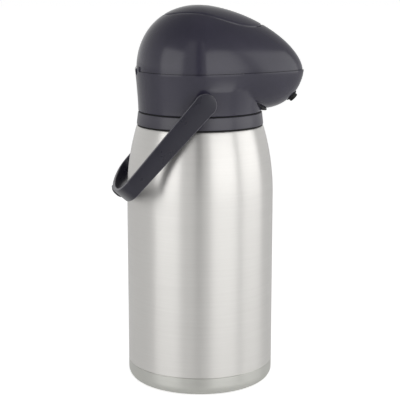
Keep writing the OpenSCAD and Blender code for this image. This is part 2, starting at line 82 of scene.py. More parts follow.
# Steel body
BODY_R = shell_hi.y
BASE_TOP = shell_lo.z
STRAIGHT_Z = 177 * MM  # the wall is straight up to here
SHOULDER_TOP = ring_lo.z - 1.5 * MM
SHOULDER_R = 58.5 * MM  # at the top of the shoulder
STEEL_T = 1.0 * MM

# Shape of the head, as the frame's solids have it
COLLAR_Z = ring_hi.z + 1.0 * MM
SEAM_Z = HINGE.z
LID_Z = lid_lo.z
HEAD_R = 59.5 * MM
COLLAR_R = 56.9 * MM
COLLAR_CURVE = 1.4  # power by which the collar widens towards the seam
BEAK = head_hi.x
WALL = 2.5 * MM
NOSE_PULL = 20 * MM
NOSE_HALF = 22 * MM
BEAK_DEPTH = 35.4 * MM
BELLY_P = 2.1
BELLY_HALF = 46 * MM
BELLY_MIN = 14 * MM
LID_STEP = 1.2 * MM
DOME_H = 58.7 * MM
DOME_P = {"front": 1.61, "side": 2.1, "rear": 2.15}
PAD_X, PAD_A, PAD_B = 11.5 * MM, 45.5 * MM, 31 * MM  # middle and half axes of the pad's oval
PAD_GAP = 1.3 * MM
DISH_R, DISH_DEPTH = 7.5 * MM, 1.2 * MM

# Lid hinge and handle bosses; a room is the radius and width of a round cut along y
KNUCKLE_R, KNUCKLE_IN, KNUCKLE_OUT = 4.25 * MM, 11.3 * MM, 17.6 * MM
KNUCKLE_ROOM = 4.4 * MM, 35.4 * MM  # in the lid, for the knuckles on the head
LEAF_ROOM = 4.5 * MM, 23.2 * MM  # in the head, for the leaf on the lid
BOSS_R, BOSS_BORE, BOSS_IN, BOSS_OUT = 9 * MM, 3 * MM, 55 * MM, 64.7 * MM

# Handle: a strap hanging from two ears, turned to its resting angle
STRAP_W, GRIP_W, STRAP_T = 19.5 * MM, 15 * MM, 3.5 * MM
HALF, REACH, BEND = 65 * MM, 112 * MM, 15.7 * MM
EAR_R = 10 * MM
REST = math.radians(41.3)


# ---------------------------------------------------------------- mesh helpers
def mesh_object(name, points, faces, sharp=SHARP):
    """Smooth-shaded mesh object whose edges above the sharp angle stay crisp."""
    mesh = bpy.data.meshes.new(name)
    mesh.from_pydata([tuple(p) for p in points], [], faces)
    mesh.validate()
    mesh.update()
    mesh.shade_smooth()
    mesh.set_sharp_from_angle(angle=math.radians(sharp))
    obj = bpy.data.objects.new(name, mesh)
    bpy.context.scene.collection.objects.link(obj)
    return obj


def loft(name, rings, closed=False, caps=True):
    """Skin over rings of equal count; closed joins the last ring to the first, caps fills the two ends."""
    n, rows = len(rings[0]), len(rings)
    points = [p for ring in rings for p in ring]
    faces = []
    for i in range(rows if closed else rows - 1):
        a, b = i * n, (i + 1) % rows * n
        faces += [(a + k, a + (k + 1) % n, b + (k + 1) % n, b + k) for k in range(n)]
    if caps and not closed:
        for row, flip in ((0, True), (rows - 1, False)):
            middle = sum((Vector(p) for p in rings[row]), Vector()) / n
            points.append(middle)
            m = len(points) - 1
            for k in range(n):
                a, b = row * n + k, row * n + (k + 1) % n
                faces.append((m, b, a) if flip else (m, a, b))
    return mesh_object(name, points, faces)


def revolve(name, profile, closed=True, seg=SEG, caps=False):
    """Turns a list of (radius, height) about Z."""
    rings = [[Vector((r * math.cos(t), r * math.sin(t), z)) for t in turns(seg)] for r, z in profile]
    return loft(name, rings, closed=closed, caps=caps)


def turns(n):
    return [2 * math.pi * k / n for k in range(n)]


def mix(a, b, t):
    return a + (b - a) * t


def arc(x, z, r, a, b, n):
    """Points (x, z) on a round corner from angle a to b, in degrees."""
    angles = [math.radians(mix(a, b, i / n)) for i in range(n + 1)]
    return [(x + r * math.cos(q), z + r * math.sin(q)) for q in angles]


def rounded(corners, r, n=4):
    """A closed (x, z) outline whose corners are rounded by r, or by a third value given with a corner."""
    out = []
    count = len(corners)
    for i, corner in enumerate(corners):
        here = Vector(corner[:2])
        back = Vector(corners[i - 1][:2]) - here
        ahead = Vector(corners[(i + 1) % count][:2]) - here
        size = corner[2] if len(corner) > 2 else r
        size = min(size, 0.45 * back.length, 0.45 * ahead.length)
        if size <= 0:
            out.append(tuple(here))
            continue
        p0, p2 = here + back.normalized() * size, here + ahead.normalized() * size
        for k in range(n + 1):
            t = k / n
            out.append(tuple(p0 * (1 - t) ** 2 + here * 2 * t * (1 - t) + p2 * t * t))
    return out


def cylinder_between(name, a, b, r, seg=32, bore=0.0, bevel=0.0):
    """Rod or tube from a to b with softened ends."""
    a, b = Vector(a), Vector(b)
    length = (b - a).length
    turn = Vector((0, 0, 1)).rotation_difference(b - a).to_matrix()
    e = min(bevel, 0.3 * length)
    if bore:
        profile = rounded([(bore, 0), (r, 0), (r, length), (bore, length)], e, 3)
        obj = revolve(name, profile, seg=seg)
    else:
        side = [(r - e, 0), (r, e), (r, length - e), (r - e, length)] if e else [(r, 0), (r, length)]
        obj = revolve(name, side, closed=False, caps=True, seg=seg)
    obj.data.transform(Matrix.Translation(a) @ turn.to_4x4())
    return obj


def join(name, parts):
    """One object from several meshes that touch or overlap."""
    points, faces, start = [], [], 0
    for part in parts:
        mesh = part.data
        points += [v.co.copy() for v in mesh.vertices]
        faces += [tuple(start + i for i in p.vertices) for p in mesh.polygons]
        start += len(mesh.vertices)
        bpy.data.objects.remove(part)
    return mesh_object(name, points, faces)


def add(obj, body, slot, material, *nodes):
    """Gives a piece its material and its place in the frame."""
    obj.data.materials.clear()
    obj.data.materials.append(material)
    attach(obj, body)
    if nodes:
        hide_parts(*nodes)
    return obj


# ---------------------------------------------------------------- shape of the head
def bezier(a, b, c, d, s):
    """Cubic curve from a to d, with b and c as its handles."""
    return a * (1 - s) ** 3 + 3 * b * s * (1 - s) ** 2 + 3 * c * s * s * (1 - s) + d * s**3


def plan(t):
    """Outline of the head at the seam, t going once round from the nose."""
    t %= 2 * math.pi
    if t > math.pi:
        x, y = plan(2 * math.pi - t)
        return x, -y
    if t >= math.pi / 2:
        return HEAD_R * math.cos(t), HEAD_R * math.sin(t)
    s = 1 - t / (math.pi / 2)
    return bezier(0, NOSE_PULL, BEAK, BEAK, s), bezier(HEAD_R, HEAD_R, NOSE_HALF, 0, s)


def reach(t):
    """Distance of the outline from the Z axis."""
    return math.hypot(*plan(t))


def heading(t):
    """Direction of the outline's point as seen from the Z axis."""
    x, y = plan(t)
    return math.atan2(y, x)


def at(t, r, z):
    """Point at radius r in the direction of the outline's point."""
    h = heading(t)
    return Vector((r * math.cos(h), r * math.sin(h), z))


def collar_radius(z):
    """Radius of the round part of the head, from the collar up to the seam."""
    rise = max(0.0, (z - COLLAR_Z) / (SEAM_Z - COLLAR_Z))
    return mix(COLLAR_R, HEAD_R, rise**COLLAR_CURVE)


def belly_depth(y):
    """How far the beak hangs below the seam, y away from the middle plane."""
    return max(BELLY_MIN, BEAK_DEPTH * math.sqrt(max(0.0, 1 - (y / BELLY_HALF) ** 2)))


def belly(t, z, inset=0.0):
    """Point of the collar and beak at height z."""
    deep = belly_depth(HEAD_R * math.sin(heading(t))) - inset
    under = min(1.0, max(0.0, (SEAM_Z - z) / deep))
    swell = (1 - under**BELLY_P) ** (1 / BELLY_P)
    return at(t, collar_radius(z) - inset + (reach(t) - HEAD_R) * swell, z)


def dome_power(t):
    """Roundness of the lid towards t: 2 is an ellipse."""
    c = math.cos(t)
    return mix(DOME_P["side"], DOME_P["rear"] if c < 0 else DOME_P["front"], c * c)


def dome(t, lift, inset=0.0):
    """Point of the lid; lift runs from 0 at the seam to pi / 2 at the top."""
    e = 2 / dome_power(t)
    r = (reach(t) - LID_STEP - inset) * max(0.0, math.cos(lift)) ** e
    return at(t, r, LID_Z + (DOME_H - inset) * math.sin(lift) ** e)


def oval_lift(t, gap, inset=0.0):
    """The lift at which the lid meets the oval around the press pad."""
    h = heading(t)
    a, b = PAD_A - gap, PAD_B - gap
    p = (math.cos(h) / a) ** 2 + (math.sin(h) / b) ** 2
    q = math.cos(h) * PAD_X / a**2
    r = (q + math.sqrt(q * q - p * ((PAD_X / a) ** 2 - 1))) / p
    return math.acos((r / (reach(t) - LID_STEP - inset)) ** (dome_power(t) / 2))


# ---------------------------------------------------------------- materials
class Nodes:
    """Short names for building a node material."""

    def __init__(self, name):
        self.material = bpy.data.materials.new(name)
        self.material.use_nodes = True
        self.tree = self.material.node_tree
        self.bsdf = self.tree.nodes["Principled BSDF"]

    def new(self, kind, **values):
        node = self.tree.nodes.new(kind)
        for key, value in values.items():
            setattr(node, key, value)
        return node

    def link(self, out, into):
        self.tree.links.new(out, into)

    def position(self):
        return self.new("ShaderNodeTexCoord").outputs["Object"]

    def scaled(self, vector, scale):
        node = self.new("ShaderNodeMapping")
        node.inputs["Scale"].default_value = scale
        self.link(vector, node.inputs["Vector"])
        return node.outputs["Vector"]

    def noise(self, vector, scale, detail=4.0, rough=0.55):
        node = self.new("ShaderNodeTexNoise")
        node.inputs["Scale"].default_value = scale
        node.inputs["Detail"].default_value = detail
        node.inputs["Roughness"].default_value = rough
        self.link(vector, node.inputs["Vector"])
        return node.outputs["Fac"]

    def ramp(self, fac, low, high, from_min=0.3, from_max=0.7):
        node = self.new("ShaderNodeMapRange")
        node.inputs["From Min"].default_value = from_min
        node.inputs["From Max"].default_value = from_max
        node.inputs["To Min"].default_value = low
        node.inputs["To Max"].default_value = high
        self.link(fac, node.inputs["Value"])
        return node.outputs["Result"]

    def tint(self, fac, dark, light):
        node = self.new("ShaderNodeMix", data_type="RGBA")
        node.inputs["A"].default_value = (*dark, 1)
        node.inputs["B"].default_value = (*light, 1)
        self.link(fac, node.inputs["Factor"])
        return node.outputs["Result"]

    def bump(self, height, strength, distance):
        node = self.new("ShaderNodeBump")
        node.inputs["Strength"].default_value = strength
        node.inputs["Distance"].default_value = distance
        self.link(height, node.inputs["Height"])
        self.link(node.outputs["Normal"], self.bsdf.inputs["Normal"])

    def around(self, along, across):
        """Coordinates that run round the Z axis and up it, for brushing that goes round the pot."""
        parts = self.new("ShaderNodeSeparateXYZ")
        self.link(self.position(), parts.inputs[0])
        turn = self.new("ShaderNodeMath", operation="ARCTAN2")
        self.link(parts.outputs["Y"], turn.inputs[0])
        self.link(parts.outputs["X"], turn.inputs[1])
        round_it = self.new("ShaderNodeMath", operation="MULTIPLY")
        round_it.inputs[1].default_value = along
        self.link(turn.outputs[0], round_it.inputs[0])
        up = self.new("ShaderNodeMath", operation="MULTIPLY")
        up.inputs[1].default_value = across
        self.link(parts.outputs["Z"], up.inputs[0])
        both = self.new("ShaderNodeCombineXYZ")
        self.link(round_it.outputs[0], both.inputs["X"])
        self.link(up.outputs[0], both.inputs["Z"])
        return both.outputs[0]


def brushed(name, dark, light, rough=(0.34, 0.42), aniso=0.85):
    """Steel brushed round the body: fine streaks in colour, roughness and relief."""
    m = Nodes(name)
    streaks = m.noise(m.around(3.0, 3200.0), 1.0, detail=3.0, rough=0.6)
    broad = m.noise(m.around(0.8, 420.0), 1.0, detail=4.0)
    both = m.new("ShaderNodeMath", operation="ADD")
    m.link(streaks, both.inputs[0])
    m.link(broad, both.inputs[1])
    half = m.new("ShaderNodeMath", operation="MULTIPLY")
    half.inputs[1].default_value = 0.5
    m.link(both.outputs[0], half.inputs[0])
    m.link(m.tint(m.ramp(half.outputs[0], 0, 1, 0.25, 0.75), dark, light), m.bsdf.inputs["Base Color"])
    m.link(m.ramp(streaks, rough[0], rough[1]), m.bsdf.inputs["Roughness"])
    m.bsdf.inputs["Metallic"].default_value = 1.0
    m.bsdf.inputs["Anisotropic"].default_value = aniso
    m.bsdf.inputs["Anisotropic Rotation"].default_value = 0.25
    tangent = m.new("ShaderNodeTangent", direction_type="RADIAL", axis="Z")
    m.link(tangent.outputs[0], m.bsdf.inputs["Tangent"])
    m.bump(streaks, 0.08, 0.00002)
    return m.material


def moulded(name, dark, light, rough, grain=900.0, relief=0.00002, strength=0.3, shine=0.5):
    """Moulded plastic: faint cloudy colour, fine grain and slightly uneven gloss."""
    m = Nodes(name)
    clouds = m.noise(m.position(), 38.0, detail=5.0)
    fine = m.noise(m.position(), grain, detail=3.0)
    m.link(m.tint(m.ramp(clouds, 0, 1), dark, light), m.bsdf.inputs["Base Color"])
    m.link(m.ramp(clouds, rough[0], rough[1]), m.bsdf.inputs["Roughness"])
    m.bsdf.inputs["Specular IOR Level"].default_value = shine
    m.bump(fine, strength, relief)
    return m.material


def satin_metal(name, dark, light, rough):
    """Plain steel of pins, screws and springs, with faint drawing marks."""
    m = Nodes(name)
    marks = m.noise(m.scaled(m.position(), (700, 700, 60)), 1.0)
    m.link(m.tint(m.ramp(marks, 0, 1), dark, light), m.bsdf.inputs["Base Color"])
    m.link(m.ramp(marks, rough[0], rough[1]), m.bsdf.inputs["Roughness"])
    m.bsdf.inputs["Metallic"].default_value = 1.0
    m.bump(marks, 0.2, 0.00002)
    return m.material


def milky(name, colour):
    """Milky food-grade tube: a little light passes through."""
    m = Nodes(name)
    clouds = m.noise(m.position(), 90.0)
    darker = tuple(0.92 * c for c in colour)
    m.link(m.tint(m.ramp(clouds, 0, 1), darker, colour), m.bsdf.inputs["Base Color"])
    m.link(m.ramp(clouds, 0.22, 0.34), m.bsdf.inputs["Roughness"])
    m.bsdf.inputs["Transmission Weight"].default_value = 0.35
    m.bump(clouds, 0.1, 0.00005)
    return m.material


steel = brushed("brushed_steel", (0.71, 0.697, 0.672), (0.77, 0.757, 0.732))
cup_steel = brushed("brushed_base_steel", (0.59, 0.59, 0.555), (0.66, 0.66, 0.625))
inner_steel = brushed("bottle_steel", (0.56, 0.56, 0.56), (0.68, 0.68, 0.68), rough=(0.3, 0.42), aniso=0.3)
pin_steel = satin_metal("pin_steel", (0.5, 0.5, 0.51), (0.66, 0.66, 0.67), (0.25, 0.4))
head_plastic = moulded("head_plastic", (0.028, 0.026, 0.043), (0.034, 0.031, 0.051), (0.17, 0.22))
ring_plastic = moulded(
    "ring_plastic", (0.032, 0.029, 0.046), (0.039, 0.036, 0.054), (0.26, 0.34), shine=0.6
)
handle_plastic = moulded(
    "handle_plastic", (0.014, 0.013, 0.023), (0.019, 0.018, 0.030), (0.25, 0.33), strength=0.1
)
# lighter plastic on the rims of the strap and the grip button: a painted highlight along their edges
painted_highlight_plastic = moulded("painted_highlight_plastic", (0.075, 0.073, 0.090), (0.110, 0.106, 0.126), (0.30, 0.40))
grip_plastic = moulded(
    "grip_plastic", (0.012, 0.011, 0.017), (0.017, 0.016, 0.023), (0.45, 0.55), relief=0.00004
)
inner_plastic = moulded(
    "inner_plastic", (0.055, 0.052, 0.060), (0.075, 0.072, 0.080), (0.4, 0.55), grain=500
)
# near black: the nozzle's own colour, and the painted shade of the wedge under the beak
black_plastic = moulded(
    "black_plastic", (0.003, 0.003, 0.003), (0.006, 0.006, 0.006), (0.35, 0.45), shine=0.25
)
rubber = moulded(
    "seal_rubber", (0.005, 0.005, 0.005), (0.010, 0.010, 0.010), (0.6, 0.75),
    grain=1400, relief=0.00006, shine=0.2,
)
tube_plastic = milky("tube_plastic", (0.78, 0.77, 0.72))


# ---------------------------------------------------------------- steel body
def shoulder_radius(z):
    """Straight wall that runs over into a long arc towards the neck."""
    if z <= STRAIGHT_Z:
        return BODY_R
    rise, narrowing = SHOULDER_TOP - STRAIGHT_Z, BODY_R - SHOULDER_R
    big = (rise**2 + narrowing**2) / (2 * narrowing)
    return BODY_R - big + math.sqrt(big**2 - (z - STRAIGHT_Z) ** 2)


def steel_shell():
    """Straight wall, shoulder with a turned-in rim, neck, and the inside of the wall."""
    top, top_r = SHOULDER_TOP, shoulder_radius(SHOULDER_TOP)
    lip, turn_in = 0.35 * MM, 0.5 * MM
    neck_out, neck_in, neck_top = 34 * MM, 33 * MM, shell_hi.z
    heights = [BASE_TOP + 0.45 * MM]
    heights += [mix(BASE_TOP + 4 * MM, STRAIGHT_Z, i / 12) for i in range(13)]
    heights += [mix(STRAIGHT_Z, top - 0.8 * MM, i / 30) for i in range(1, 31)]
    heights_in = [mix(top - 1.2 * MM, STRAIGHT_Z, i / 16) for i in range(17)]
    profile = [(BODY_R - lip, BASE_TOP)]
    profile += [(shoulder_radius(z), z) for z in heights]
    profile += [(top_r - 0.1 * MM, top - 0.25 * MM), (top_r - turn_in, top)]
    profile += [(neck_out, top), (neck_out, neck_top), (neck_in, neck_top), (neck_in, top - STEEL_T)]
    profile += [(shoulder_radius(z) - STEEL_T, z) for z in heights_in]
    profile += [(BODY_R - STEEL_T, BASE_TOP)]
    add(revolve("steel_shell", profile), "pot", "steel", steel, "outer_shell")


def steel_base():
    """Base cup with a round lower edge, a raised floor and a lipped seam under the shell."""
    round_r = 9 * MM
    foot, rim = base_lo.z, base_hi.z - 0.05 * MM
    wall_out, wall_in = 56 * MM, 57 * MM  # of the step down from the raised floor
    floor_lo, floor_hi, eye = 2 * MM, 3 * MM, 0.01 * MM
    x, z = BODY_R - round_r, foot + round_r
    profile = [(wall_out, floor_lo), (wall_out, foot + 0.2 * MM), (wall_out + 0.3 * MM, foot)]
    profile += arc(x, z, round_r, -90, 0, 20)
    profile += [(BODY_R, rim - 0.4 * MM), (BODY_R - 0.35 * MM, rim), (BODY_R - STEEL_T, rim)]
    profile += arc(x, z, round_r - STEEL_T, 0, -90, 12)
    profile += [(wall_in, foot + STEEL_T), (wall_in, floor_hi), (eye, floor_hi), (eye, floor_lo)]
    add(revolve("steel_base", profile), "pot", "base_steel", cup_steel, "base_cup")


def tapered_ring():
    """Collar ring: round top and bottom edges outside, a floor with a hole for the neck inside."""
    lo, hi = ring_lo.z, ring_hi.z
    hole, low_r, top_r, inside = 34.2 * MM, 58.5 * MM, 57.2 * MM, 50 * MM
    floor_z = lo + 3 * MM
    corners = [(hole, lo), (low_r, lo, 0.5 * MM), (top_r, hi, 0.6 * MM)]
    corners += [(inside, hi), (inside, floor_z), (hole, floor_z)]
    add(revolve("neck_ring_skin", rounded(corners, 0)), "pot", "head_plastic", ring_plastic, "neck_ring")


# ---------------------------------------------------------------- head
def head_shell():
    """Collar with the lower half of the beak, in one moulding, with the bosses and knuckles it carries."""
    steps = turns(SEG)
    rows = 34
    crowding = 0.9  # spaces the rows so that they follow the beak's round underside
    edge, first, hole = 0.5 * MM, 0.4 * MM, 40 * MM
    floor_z = COLLAR_Z + WALL
    rings = [[at(t, COLLAR_R - edge, COLLAR_Z) for t in steps]]
    rings.append([at(t, COLLAR_R, COLLAR_Z + edge) for t in steps])
    for i in range(rows + 1):
        down = math.cos(math.pi / 2 * i / rows) ** crowding
        rings.append([belly(t, SEAM_Z - first - (BEAK_DEPTH - first) * down) for t in steps])
    for drop, inset in ((0.05 * MM, 0.06 * MM), (0, 0.25 * MM), (0, WALL)):
        rings.append([belly(t, SEAM_Z - drop, inset) for t in steps])
    for i in range(rows, -1, -3):
        down = math.cos(math.pi / 2 * i / rows) ** crowding
        rings.append([belly(t, SEAM_Z - (BEAK_DEPTH - WALL) * down, WALL) for t in steps])
    rings.append([at(t, COLLAR_R - WALL, floor_z) for t in steps])
    rings.append([at(t, hole, floor_z) for t in steps])
    rings.append([at(t, hole, COLLAR_Z) for t in steps])
    shell = loft("head_shell", rings, closed=True)
    cut(shell, along_y("hinge_room", HINGE, *LEAF_ROOM))
    add(shell, "pot", "head_plastic", head_plastic, "head_base")
    for side, sign in (("near", -1), ("far", 1)):
        handle_boss(f"handle_boss_{side}", sign)
        hinge_knuckle(f"hinge_knuckle_{side}", sign)


def handle_boss(name, sign):
    """Round boss between the head and the handle's ear."""
    root = (PIVOT.x, sign * BOSS_IN, PIVOT.z)
    end = (PIVOT.x, sign * BOSS_OUT, PIVOT.z)
    boss = cylinder_between(name, root, end, BOSS_R, seg=64, bore=BOSS_BORE, bevel=0.6 * MM)
    add(boss, "pot", "head_plastic", head_plastic)


def hinge_knuckle(name, sign):
    """Knuckle of the lid hinge, trimmed to the round of the head."""
    root = (HINGE.x, sign * KNUCKLE_IN, HINGE.z)
    end = (HINGE.x, sign * KNUCKLE_OUT, HINGE.z)
    knuckle = cylinder_between(name, root, end, KNUCKLE_R, seg=48, bevel=0.1 * MM)
    reach_z = 6 * MM
    outline = [(58.9 * MM, HINGE.z - reach_z), (59.45 * MM, HINGE.z), (59.1 * MM, HINGE.z + reach_z)]
    cut(knuckle, revolve("outline", outline, closed=False, caps=True), "INTERSECT")
    add(knuckle, "pot", "head_plastic", head_plastic)


def along_y(name, middle, r, width):
    """Rod across the pot."""
    half = Vector((0, width / 2, 0))
    return cylinder_between(name, middle - half, middle + half, r, seg=48)


def cut(obj, tool, operation="DIFFERENCE"):
    """Takes the tool's volume out of obj, or keeps only what they share."""
    modifier = obj.modifiers.new("cut", "BOOLEAN")
    modifier.operation = operation
    modifier.solver = "EXACT"
    modifier.object = tool
    bpy.context.view_layer.update()
    evaluated = obj.evaluated_get(bpy.context.evaluated_depsgraph_get())
    done = bpy.data.meshes.new_from_object(evaluated)
    obj.modifiers.clear()
    obj.data = done
    obj.data.shade_smooth()
    obj.data.set_sharp_from_angle(angle=math.radians(SHARP))
    bpy.data.objects.remove(tool)


def beak_shade_wedge():
    """Black wedge under the beak, tapering out round the collar: a dark piece that paints the deep shade
    where the beak's underside meets the collar.
    """
    r_in, half, n = COLLAR_R + 0.45 * MM, math.radians(29.5), 40
    thick, thinning = 4.4 * MM, 3.6 * MM
    gap, end_gap = 0.6 * MM, 1.2 * MM  # to the beak, in the middle and at the two ends
    low, flat_half = COLLAR_Z + 0.5 * MM, 12 * MM
    end_y = r_in * math.sin(half)
    end_z = SEAM_Z - belly_depth(HEAD_R * math.sin(half)) - end_gap
    rings = []
    for i in range(n + 1):
        h = mix(-half, half, i / n)
        y = r_in * math.sin(h)
        top = SEAM_Z - belly_depth(HEAD_R * math.sin(h)) - gap
        bottom = mix(low, end_z, max(0.0, abs(y) - flat_half) / (end_y - flat_half))
        r = r_in + thick - thinning * (h / half) ** 2
        corners = [(r_in, bottom, 0), (r, bottom, 0.4 * MM), (r, top, 0), (r_in, top, 0)]
        section = rounded(corners, 0, 3)
        rings.append([Vector((q * math.cos(h), q * math.sin(h), z)) for q, z in section])
    add(loft("beak_shade_wedge", rings), "pot", "black_plastic", black_plastic, "beak_rib")


def lid_skin():
    """Upper half of the head, with the oval opening for the press pad."""
    steps = turns(SEG)
    rows = 40
    down = Vector((0, 0, 0.17 * MM))
    lip = 0.7 * MM
    start = 0.02  # lift of the first row above the seam's edge
    rings = [[dome(t, 0, WALL) - down for t in steps]]
    rings.append([dome(t, 0, 0.25 * MM) - down for t in steps])
    rings.append([dome(t, 0, 0.05 * MM) - 0.5 * down for t in steps])
    for i in range(1, rows + 1):
        rings.append([dome(t, mix(start, oval_lift(t, -lip), i / rows)) for t in steps])
    for gap, drop in ((-0.35, 0.1), (-0.1, 0.35), (0, 0.8), (0, 2.2)):
        rings.append([dome(t, oval_lift(t, gap * MM)) - Vector((0, 0, drop * MM)) for t in steps])
    for i in range(rows // 2, 0, -1):
        rings.append([dome(t, oval_lift(t, 0, WALL) * i / (rows // 2), WALL) for t in steps])
    shell = loft("lid_skin", rings, closed=True)
    cut(shell, along_y("knuckle_room", HINGE, *KNUCKLE_ROOM))
    add(shell, "lid", "head_plastic", head_plastic, "lid_shell")


def pad_skin():
    """Oval press pad that carries on the lid's curve, with a rounded edge, a skirt and a finger dish."""
    steps = turns(SEG)
    rows, rows_in = 44, 14
    skirt, edge, crowding = 6 * MM, 0.8 * MM, 0.8
    inward = 0.985  # the rings stop just short of the middle

    def row(gap, share, inset=0.0):
        """Ring of the pad, share of the way from its edge to its top."""
        lifts = [mix(oval_lift(t, gap, inset), math.pi / 2, share) for t in steps]
        return [dome(t, lift, inset) for t, lift in zip(steps, lifts)]

    rings = [row(PAD_GAP + WALL, inward * i / rows_in, WALL) for i in range(rows_in, -1, -1)]
    down = Vector((0, 0, skirt - WALL))
    rings.append([dome(t, oval_lift(t, PAD_GAP + WALL, WALL), WALL) - down for t in steps])
    for gap, drop in ((0.0, skirt / MM), (0, 1.2), (0.1, 0.5), (0.35, 0.15)):
        down = Vector((0, 0, drop * MM))
        rings.append([dome(t, oval_lift(t, PAD_GAP + gap * MM)) - down for t in steps])
    for i in range(rows + 1):
        share = inward * (i / rows) ** crowding
        rings.append([dished(point) for point in row(PAD_GAP + edge, share)])
    pad = loft("pad_skin", rings)
    pad_works()
    add(pad, "pad", "head_plastic", head_plastic, "press_pad")


def pad_works():
    """Underside of the pad: the pusher over the plunger, and two ears on stems at the pad's pin."""
    pusher_r, ear_y, ear_r, ear_w = 6 * MM, 8 * MM, 4 * MM, 4 * MM
    top, foot = (0, 0, pad_hi.z - 3 * MM), (0, 0, plunger_hi.z + 2 * MM)
    pusher = cylinder_between("pusher", top, foot, pusher_r, bevel=2 * MM)
    ears, stems = [], []
    for sign in (-1, 1):
        middle = PRESS + Vector((0, sign * ear_y, 0))
        ears.append(along_y(f"ear_{sign}", middle, ear_r, ear_w))
    for sign in (-1, 1):
        middle = PRESS + Vector((-2.2 * MM, sign * ear_y, 4.5 * MM))
        stems.append(block(f"stem_{sign}", middle, (4.4, 4, 9)))
    add(join("pad_works", [pusher, *ears, *stems]), "pad", "head_plastic", inner_plastic)


def block(name, middle, size_mm):
    """Plain rib inside the lid."""
    x, y, z = Vector(size_mm) * MM / 2
    corners = ((-x, -y), (x, -y), (x, y), (-x, y))
    rings = [[middle + Vector((cx, cy, cz)) for cx, cy in corners] for cz in (-z, z)]
    return loft(name, rings)


def dished(p):
    """Sinks a shallow round dish into the pad's top."""
    r = math.hypot(p.x, p.y) / DISH_R
    if r >= 1:
        return p
    return p - Vector((0, 0, DISH_DEPTH * (1 - r * r)))


def nozzle_skin():
    """Angled nozzle with a rounded open tip, and the ring round it."""
    tube_lo, tube_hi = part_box("outlet_tube")
    tube_z = (tube_lo.z + tube_hi.z) / 2
    bend = 3.31 * MM  # from the end of the tube to the corner, and from the corner to the spout's start
    spout, ring_start, ring_end = 8.1 * MM, 2 * MM, 5.2 * MM
    corner = Vector((tube_hi.x + bend, 0, tube_z))
    root = (tube_hi.x - 6 * MM, 0, tube_z)
    down = Vector((1, 0, -1)).normalized()
    tip = corner + down * (spout + bend)
    socket = cylinder_between("socket", root, corner, 5 * MM, bore=4 * MM, bevel=0.3 * MM)
    pipe = cylinder_between("spout", corner, tip, 4.3 * MM, seg=64, bore=2.6 * MM, bevel=0.7 * MM)
    add(join("nozzle_skin", [socket, pipe]), "pot", "black_plastic", black_plastic, "nozzle")
    start, end = corner + down * (ring_start + bend), corner + down * (ring_end + bend)
    ring = cylinder_between("grommet_skin", start, end, 5.9 * MM, seg=64, bore=4.35 * MM, bevel=0.8 * MM)
    add(ring, "pot", "seal_rubber", rubber, "nozzle_grommet")


# ---------------------------------------------------------------- handle
def strap_path(s):
    """Middle of the strap, s from -1 at one pivot to 1 at the other: position, outward normal, width."""
    knee = REACH - BEND
    half, bend = HALF + STRAP_T / 2, BEND + STRAP_T / 2
    quarter = 0.5 * math.pi * math.sqrt((half**2 + bend**2) / 2)
    total = knee + quarter
    length = abs(s) * total
    side = 1 if s > 0 else -1
    if length > quarter:
        z = -(knee - (length - quarter))
        width = mix(GRIP_W, STRAP_W, (length - quarter) / knee)
        return Vector((0, side * half, z)), Vector((0, side, 0)), width
    angle = math.pi / 2 * (1 - ellipse_share(length / quarter, half, bend))
    point = Vector((0, side * half * math.cos(angle), -knee - bend * math.sin(angle)))
    normal = Vector((0, side * math.cos(angle) / half, -math.sin(angle) / bend)).normalized()
    return point, normal, GRIP_W


def ellipse_share(share, a, b, n=240):
    """Share of a quarter ellipse's angle, from its lowest point, that covers a share of its length."""
    lengths = [0.0]
    last = (0.0, -b)
    for i in range(1, n + 1):
        q = math.pi / 2 * i / n
        here = (a * math.sin(q), -b * math.cos(q))
        lengths.append(lengths[-1] + math.dist(last, here))
        last = here
    goal = share * lengths[-1]
    for i in range(n):
        if lengths[i + 1] >= goal:
            part = (goal - lengths[i]) / max(1e-12, lengths[i + 1] - lengths[i])
            return (i + part) / n
    return 1.0


def handle_skin():
    """Flat strap with softened edges that widens into a round ear at each pivot."""
    to_place = Matrix.Translation(PIVOT) @ Matrix.Rotation(REST, 4, "Y")
    ear_rows, ear_from, ear_to = 24, 1.5, 140  # rows round the ear, in degrees from its top
    strap_rows, strap_end = 100, 0.92  # the ears' rows take over beyond strap_end
    soft_edge = 1.1 * MM
    ears = []
    for side in (-1, 1):
        row = []
        for i in range(ear_rows + 1):
            z = EAR_R * math.cos(math.radians(mix(ear_from, ear_to, i / ear_rows)))
            point = Vector((0, side * (HALF + STRAP_T / 2), z))
            row.append((point, Vector((0, side, 0)), ear_half_width(z)))
        ears.append(row)
    middle = []
    for i in range(strap_rows + 1):
        point, normal, width = strap_path(mix(-strap_end, strap_end, i / strap_rows))
        middle.append((point, normal, max(width / 2, ear_half_width(point.z))))
    rings, outward = [], []
    t = STRAP_T / 2
    for point, normal, half in ears[0] + middle + ears[1][::-1]:
        soft = min(soft_edge, 0.6 * half)
        section = rounded([(-half, -t), (half, -t), (half, t), (-half, t)], soft, 4)
        rings.append([to_place @ (point + Vector((x, 0, 0)) + normal * d) for x, d in section])
        outward.append(to_place.to_3x3() @ normal)
    strap = add(loft("handle_skin", rings), "bail", "handle_plastic", handle_plastic, "handle")
    # the strap's rim faces take the lighter plastic, a painted highlight along its edges
    strap.data.materials.append(painted_highlight_plastic)
    flat = 0.9  # a face whose normal has less than this of the strap's own is on its rim
    for face in strap.data.polygons:
        ring = face.index // len(rings[0])
        if ring < len(outward) and abs(face.normal.dot(outward[ring])) < flat:
            face.material_index = 1


def ear_half_width(z):
    """Half width of the strap at height z over the pivot: the ear's circle, then the strap."""
    strap = mix(STRAP_W, GRIP_W, min(1.0, max(0.0, -z / (REACH - BEND)))) / 2
    circle = math.sqrt(max(0.0, EAR_R**2 - z**2))
    return circle if z > 0 else max(circle, strap)


